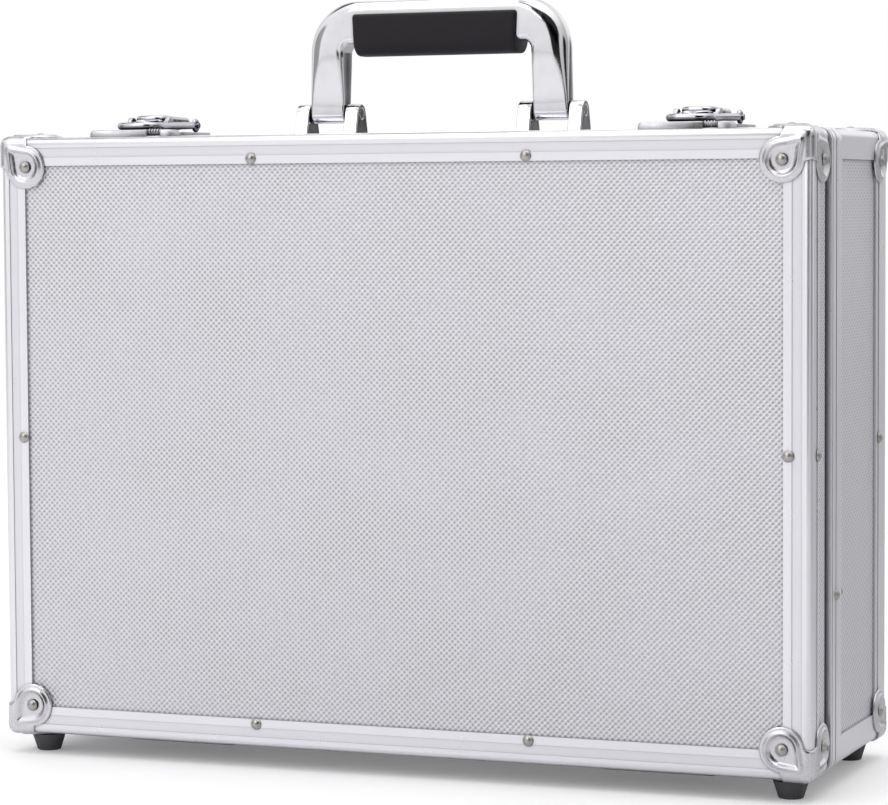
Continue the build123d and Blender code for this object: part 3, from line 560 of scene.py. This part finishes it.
def handle_station(inner, outer):
    """Ring of the handle frame between a point of its inner and of its outer edge."""
    height = (inner[1] + outer[1]) / 2
    if height < PIVOT_UP:
        half_y = math.sqrt(max(0.0, EYE_R ** 2 - (PIVOT_UP - height) ** 2))
    else:
        half_y = EYE_R + (BAR_HALF - EYE_R) * smooth_step(height, PIVOT_UP, 42 * MM)
    half_y = max(half_y, 0.6 * MM)
    flat, round_outside = 1.1 * MM, 6.6 * MM
    lift = smooth_step(outer[1], 9 * MM, 44 * MM)
    along_bar = smooth_step(LEG_OUT - abs(outer[0]), 10 * MM, 26 * MM)
    outside = flat + (round_outside - flat) * lift * (1 - 0.45 * along_bar)
    inside = flat + 1.4 * MM * lift
    middle = Vector(((inner[0] + outer[0]) / 2, 0, height))
    way = Vector((outer[0] - inner[0], 0, outer[1] - inner[1]))
    half = way.length / 2
    way.normalize()
    ring = []
    for u, v in rounded_box_ring(half, half_y, (outside, inside, inside, outside), 10,
                                 1.0 + 0.3 * lift):
        point = middle + way * u
        ring.append((point.x, HANDLE_Y + v, TOP + point.z))
    return ring


def handle_edges():
    """Matching points of the inner and outer edge, from the foot of the right leg to the middle."""
    pairs = []
    for k in range(8):
        height = PIVOT_UP - EYE_R * math.cos(math.pi / 2 * k / 8)
        pairs.append(((LEG_IN, height), (LEG_OUT, height)))
    inner_top, outer_top = BAR_UNDER - INNER_R, HANDLE_TOP - SHOULDER_R
    for k in range(13):
        t = k / 12
        pairs.append(((LEG_IN, PIVOT_UP + (inner_top - PIVOT_UP) * t),
                      (LEG_OUT, PIVOT_UP + (outer_top - PIVOT_UP) * t)))
    for k in range(1, 19):
        a = math.pi / 2 * k / 18
        pairs.append(((LEG_IN - INNER_R + INNER_R * math.cos(a), inner_top + INNER_R * math.sin(a)),
                      (LEG_OUT - SHOULDER_R + SHOULDER_R * math.cos(a),
                       outer_top + SHOULDER_R * math.sin(a))))
    for k in range(1, 9):
        t = 1 - k / 8
        pairs.append((((LEG_IN - INNER_R) * t, BAR_UNDER),
                      ((LEG_OUT - SHOULDER_R) * t, HANDLE_TOP)))
    return pairs


def build_handle():
    """Polished frame with rounded shoulders and a rubber sleeve on its bar."""
    right = handle_edges()
    left = [((-a[0], a[1]), (-b[0], b[1])) for a, b in reversed(right[:-1])]
    rings = [handle_station(inner, outer) for inner, outer in right + left]
    add_piece("handle_arch", [loft(rings)], CHROME, "handle", "chrome", "handle_frame")

    low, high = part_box("handle_grip")
    middle_z = (low.z + high.z) / 2
    rings = []
    steps = 28
    for k in range(steps + 1):
        t = math.sin(math.pi / 2 * (-1 + 2 * k / steps))
        x = high.x * t
        near_end = 1 - math.sqrt(1 - smooth_step(abs(t), 0.97, 1.0) ** 2)
        half_y = (high.y - low.y) / 2 - 0.25 * MM - 0.7 * MM * near_end
        half_z = (high.z - low.z) / 2 - 0.5 * MM * near_end
        ring = rounded_box_ring(half_y, half_z, (GRIP_UPPER_R,) * 2 + (GRIP_LOWER_R,) * 2)
        rings.append([(x * (1 - GRIP_TAPER * (1 - w / half_z)), HANDLE_Y + v, middle_z + w)
                      for v, w in ring])
    add_piece("handle_sleeve", [loft(rings)], GRIP_RUBBER, "handle", "grip_rubber", "handle_grip")


# ---------------------------------------------------------------- latches

LEVER_HALF_X, LEVER_CORNER_R = 6.7 * MM, 4.5 * MM
LEVER_FRONT_IN, LEVER_BACK_IN = 2.5 * MM, 1.7 * MM
LEVER_RIM_R, LEVER_RIM_DROP = 1.6 * MM, 0.9 * MM
THUMB_REST_DEPTH = 0.8 * MM
WIRE_R, WIRE_HALF_X = 1.75 * MM, 13.0 * MM
WIRE_CORNER_R, WIRE_TAPER, HOOK_UP = 6.5 * MM, 3.2 * MM, 5.4 * MM
CURL_R, CURL_WIRE_R = 2.35 * MM, 1.0 * MM


def rounded_loop(half_x, y_front, y_back, radius, height_at):
    """Closed path of a rounded rectangle seen from above."""
    middle_y, half_y = (y_front + y_back) / 2, (y_back - y_front) / 2
    ring = rounded_box_ring(half_x, half_y, (radius,) * 4, 9)
    return [(x, middle_y + y, height_at(middle_y + y)) for x, y in ring]


def latch_lever_parts(x0, low, high):
    """Lever: a pressed plate with a rolled rim standing round it and a sunk thumb rest."""
    front, back = low.y + LEVER_FRONT_IN, high.y - LEVER_BACK_IN
    rim_z = high.z - 1.7 * MM

    def height_at(y):
        t = (y - front) / (back - front)
        return rim_z - LEVER_RIM_DROP * t * t

    loop = rounded_loop(LEVER_HALF_X, front, back, LEVER_CORNER_R, height_at)
    path = [(x0 + x, y, z) for x, y, z in loop]
    parts = [tube(path, LEVER_RIM_R, looped=True)]
    rings = []
    for k in range(15):
        t = k / 14
        y = low.y + 0.4 * MM + (high.y - low.y - 0.8 * MM) * t
        end = math.sqrt(max(0.0, 1 - (2 * t - 1) ** 10))
        top = height_at(y) - 0.4 * MM - THUMB_REST_DEPTH * math.sin(math.pi * t) ** 2
        under = low.z + 0.4 * MM + (2.4 * MM) * (1 - end) + 1.2 * MM * smooth_step(t, 0.3, 0.8)
        ring = rounded_box_ring(7.6 * MM - 1.5 * MM * (1 - end), max(0.4 * MM, (top - under) / 2),
                                (1.2 * MM,) * 4)
        rings.append([(x0 + x, y, (top + under) / 2 + z) for x, z in ring])
    parts.append(loft(rings))
    return parts


def latch_bail_parts(front, pin):
    """Bail: a thick wire loop whose ends curl round the pin."""
    half, corner = WIRE_HALF_X, WIRE_CORNER_R
    hook_y, hook_z = front + WIRE_R, TOP + HOOK_UP

    def height_at(y):
        return hook_z + (pin.z - hook_z) * (y - hook_y) / (pin.y - hook_y)

    path = [(-half, pin.y - 1.5 * MM), (-half, pin.y - 6 * MM)]
    for k in range(9):
        a = math.pi / 2 * k / 8
        path.append((-half + WIRE_TAPER + corner - corner * math.cos(a),
                     hook_y + corner - corner * math.sin(a)))
    path += [(-x, y) for x, y in reversed(path)]
    parts = [tube([(pin.x + x, y, height_at(y)) for x, y in path], WIRE_R)]
    for s in (-1, 1):
        circle = []
        for k in range(20):
            a = 2 * math.pi * k / 20
            circle.append((pin.x + s * half, pin.y + CURL_R * math.cos(a),
                           pin.z + CURL_R * math.sin(a)))
        parts.append(tube(circle, CURL_WIRE_R, looped=True, sides=12))
    return parts


def block(x, y, z, radii):
    """Block with soft ends; radii round its four long edges, which run along y."""
    soft = 0.3 * MM
    rings = []
    for at, inset in ((y[0], soft), (y[0] + soft, 0.0), (y[1] - soft, 0.0), (y[1], soft)):
        ring = rounded_box_ring((x[1] - x[0]) / 2 - inset, (z[1] - z[0]) / 2 - inset, radii)
        rings.append([((x[0] + x[1]) / 2 + u, at, (z[0] + z[1]) / 2 + v) for u, v in ring])
    return loft(rings)


def latch_strike_parts(low, high):
    """Strike: a low plate with round shoulders, a lug for the bail and a notch for the spring."""
    middle = (low.x + high.x) / 2
    notch = (middle + 8.5 * MM, middle + 15.5 * MM)
    notch_back, top = low.y + 5.0 * MM, TOP + 3.55 * MM
    round_end, square = 2.2 * MM, 0.3 * MM
    base = low.z + 0.05 * MM
    depth, across_notch = (low.y, high.y), (notch[0] - square, notch[1] + square)
    return [
        block((low.x, notch[0]), depth, (base, top), (square, round_end, square, square)),
        block((notch[1], high.x), depth, (base, top), (round_end, square, square, square)),
        block(across_notch, (notch_back, high.y), (base, top), (square,) * 4),
        block(across_notch, (low.y + square, notch_back + square), (base, TOP + 0.6 * MM),
              (square,) * 4),
        block((middle - 8.0 * MM, middle + 8.0 * MM), (low.y + 6.0 * MM, low.y + 8.6 * MM),
              (TOP + 1.2 * MM, high.z), (0.9 * MM, 0.9 * MM, square, square)),
    ]


def build_latches():
    """Strike plate, lever and wire bail of both latches."""
    for side in ("left", "right"):
        add_piece(f"latch_plate_{side}", latch_strike_parts(*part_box(f"latch_strike_{side}")),
                  SATIN_NICKEL, "lid", "chrome", f"latch_strike_{side}")
        low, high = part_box(f"latch_lever_{side}")
        pin_low, pin_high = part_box(f"bail_pin_{side}")
        pin = (pin_low + pin_high) / 2
        add_piece(f"latch_paddle_{side}", latch_lever_parts(pin.x, low, high), LATCH_CHROME,
                  f"latch_lever_{side}", "chrome", f"latch_lever_{side}")
        bail_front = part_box(f"latch_bail_{side}")[0].y
        add_piece(f"latch_wire_{side}", latch_bail_parts(bail_front, pin), LATCH_CHROME,
                  f"latch_bail_{side}", "chrome", f"latch_bail_{side}")


# ---------------------------------------------------------------- linings

PAD_SEAMS = 60.0 * MM
PAD_EDGE_R, PAD_PULL, PAD_PULL_REACH = 6 * MM, 0.8 * MM, 20 * MM


def build_lining(shell, faces_back):
    """Felt pad with a soft crown, rounded edges and shallow quilted channels."""
    low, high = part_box(f"{shell}_lining")
    middle = (low + high) / 2
    half_x, half_z, half_y = (high.x - low.x) / 2, (high.z - low.z) / 2, (high.y - low.y) / 2
    columns, rows = 96, 70
    points, faces = [], []
    for layer in (1, -1):
        for j in range(rows + 1):
            for i in range(columns + 1):
                u, w = -1 + 2 * i / columns, -1 + 2 * j / rows
                edge = min((1 - abs(u)) * half_x, (1 - abs(w)) * half_z)
                round_off = math.sqrt(1 - (1 - min(1.0, edge / PAD_EDGE_R)) ** 2)
                pull = PAD_PULL * (1 - smooth_step(edge, 0, PAD_PULL_REACH))
                x = u * (half_x - pull * math.cos(math.pi / 2 * w))
                z = w * (half_z - pull * math.cos(math.pi / 2 * u))
                seam = min(abs(math.sin(math.pi * (x + z) / PAD_SEAMS)),
                           abs(math.sin(math.pi * (x - z) / PAD_SEAMS)))
                puff = 0.62 + 0.38 * smooth_step(seam, 0.0, 0.35)
                thick = half_y * round_off * (puff if layer == 1 else 1.0)
                y = middle.y + faces_back * layer * thick
                points.append((x, y, middle.z + z))
    size = (columns + 1) * (rows + 1)
    for j in range(rows):
        for i in range(columns):
            a = j * (columns + 1) + i
            face = (a, a + 1, a + columns + 2, a + columns + 1)
            faces.append(face if faces_back < 0 else face[::-1])
            faces.append(tuple(size + k for k in (face[::-1] if faces_back < 0 else face)))
    rim = [i for i in range(columns)] + [j * (columns + 1) + columns for j in range(rows)]
    rim += [rows * (columns + 1) + i for i in range(columns, 0, -1)]
    rim += [j * (columns + 1) for j in range(rows, 0, -1)]
    for a, b in zip(rim, rim[1:] + rim[:1]):
        face = (a, b, size + b, size + a)
        faces.append(face[::-1] if faces_back < 0 else face)
    pad = add_piece(f"{shell}_felt_pad", [(points, faces)], FELT, shell, "lining",
                    f"{shell}_lining")


build_covers()
build_handle()
build_latches()
build_lining("lid", 1)
build_lining("case", -1)


# ---------------------------------------------------------------- stage

def area_light(name, place, aim, size, power):
    """Soft rectangular light at place, turned towards aim."""
    data = bpy.data.lights.new(name, "AREA")
    data.shape, data.size, data.size_y, data.energy = "RECTANGLE", size[0], size[1], power
    light = bpy.data.objects.new(name, data)
    light.location = place
    light.rotation_euler = (Vector(aim) - Vector(place)).to_track_quat("-Z", "Y").to_euler()
    bpy.context.scene.collection.objects.link(light)


def floor_material():
    """Pale floor; reflections and bounced light see it darker towards the back right."""
    m = Nodes(bpy.data.materials.new("pale_floor"))
    mottle = m.noise(m.place(), 3.0, 4.0)
    pale = m.mix(m.ramp(mottle, 0.3, 0.7), (0.91, 0.91, 0.91), (0.93, 0.93, 0.93))
    x, y, _ = m.split(m.place())
    back = m.math("ADD", m.math("MULTIPLY", x, 0.6), m.math("MULTIPLY", y, 0.8))
    shaded = m.mix(m.ramp(back, -0.2, 0.5), (0.88, 0.88, 0.88), (0.42, 0.42, 0.42))
    seen = m.tree.nodes.new("ShaderNodeLightPath").outputs["Is Camera Ray"]
    m.set(Base_Color=m.mix(seen, shaded, pale), Roughness=0.6,
          Emission_Color=(1.0, 1.0, 1.0, 1.0), Emission_Strength=m.math("MULTIPLY", seen, 0.17))
    return m.owner


# Dark flags round the object: x, y, z of the direction, cosine of the half angle, level.
FLAGS = ((0.34, -0.93, 0.12, 0.93, 0.02), (0.40, -0.78, 0.50, 0.925, 0.03),
         (0.98, -0.12, 0.10, 0.972, 0.03), (-0.93, -0.36, 0.05, 0.93, 0.4),
         (-0.10, -0.80, 0.60, 0.962, 0.05), (-0.12, -0.35, 0.93, 0.986, 0.05),
         (-0.60, 0.30, 0.74, 0.97, 0.10), (0.39, 0.92, 0.03, 0.9955, 0.03))


def build_world():
    """White surroundings to look at, and for the metal a sky with bright sides and dark flags."""
    world = bpy.data.worlds.new("studio")
    bpy.context.scene.world = world
    helper = Nodes(world)
    tree = helper.tree
    background = tree.nodes["Background"]
    way = tree.nodes.new("ShaderNodeTexCoord").outputs["Generated"]

    def towards(x, y, z):
        node = tree.nodes.new("ShaderNodeVectorMath")
        node.operation = "DOT_PRODUCT"
        tree.links.new(way, node.inputs[0])
        node.inputs[1].default_value = Vector((x, y, z)).normalized()
        return node.outputs["Value"]

    sky = helper.ramp(towards(-0.45, -0.45, 0.77), -0.7, 0.8, 0.30, 0.86)
    sky = helper.math("ADD", sky, helper.ramp(towards(0, 0, 1), 0.55, 0.9, 0.0, 0.35))
    sky = helper.math("ADD", sky, helper.ramp(towards(0.30, 0.95, 0.10), 0.78, 0.95, 0.0, 0.38))
    for x, y, z, width, dark in FLAGS:
        flag = helper.ramp(towards(x, y, z), width - 0.015, width + 0.006, 1.0, dark)
        sky = helper.math("MULTIPLY", sky, flag)
    tree.links.new(sky, background.inputs["Color"])
    background.inputs["Strength"].default_value = 1.22
    seen = tree.nodes.new("ShaderNodeBackground")
    seen.inputs["Color"].default_value = (1.0, 1.0, 1.0, 1.0)
    choose = tree.nodes.new("ShaderNodeMixShader")
    rays = tree.nodes.new("ShaderNodeLightPath")
    tree.links.new(rays.outputs["Is Camera Ray"], choose.inputs["Fac"])
    tree.links.new(background.outputs[0], choose.inputs[1])
    tree.links.new(seen.outputs[0], choose.inputs[2])
    tree.links.new(choose.outputs[0], tree.nodes["World Output"].inputs["Surface"])


def build_stage():
    """Pale floor, surroundings and two soft lights."""
    mesh = bpy.data.meshes.new("floor")
    half = 4.0
    mesh.from_pydata([(-half, -half, 0), (half, -half, 0), (half, half, 0), (-half, half, 0)], [],
                     [(0, 1, 2, 3)])
    mesh.materials.append(floor_material())
    floor = bpy.data.objects.new("floor", mesh)
    bpy.context.scene.collection.objects.link(floor)

    build_world()
    centre = (0, 0, TOP / 2)
    area_light("key", (-0.7, -2.2, 1.9), centre, (1.6, 1.2), 13.2)
    area_light("top", (0.0, -0.2, 2.2), centre, (2.2, 1.6), 8.4)


def build_camera():
    """Camera in front and to the right, a little under the top edge, looking slightly down."""
    data = bpy.data.cameras.new("camera")
    data.lens, data.sensor_width = 128.5, 36.0
    data.clip_start, data.clip_end = 0.05, 50.0
    camera = bpy.data.objects.new("camera", data)
    bpy.context.scene.collection.objects.link(camera)
    turn, down, roll = math.radians(21.70), math.radians(3.69), math.radians(-0.35)
    camera.matrix_world = (Matrix.Translation((0.5588, -1.4013, 0.2663))
                           @ Matrix.Rotation(turn, 4, "Z")
                           @ Matrix.Rotation(math.pi / 2 - down, 4, "X")
                           @ Matrix.Rotation(roll, 4, "Z"))
    bpy.context.scene.camera = camera


build_stage()
build_camera()
bpy.context.scene.view_settings.view_transform = "Standard"
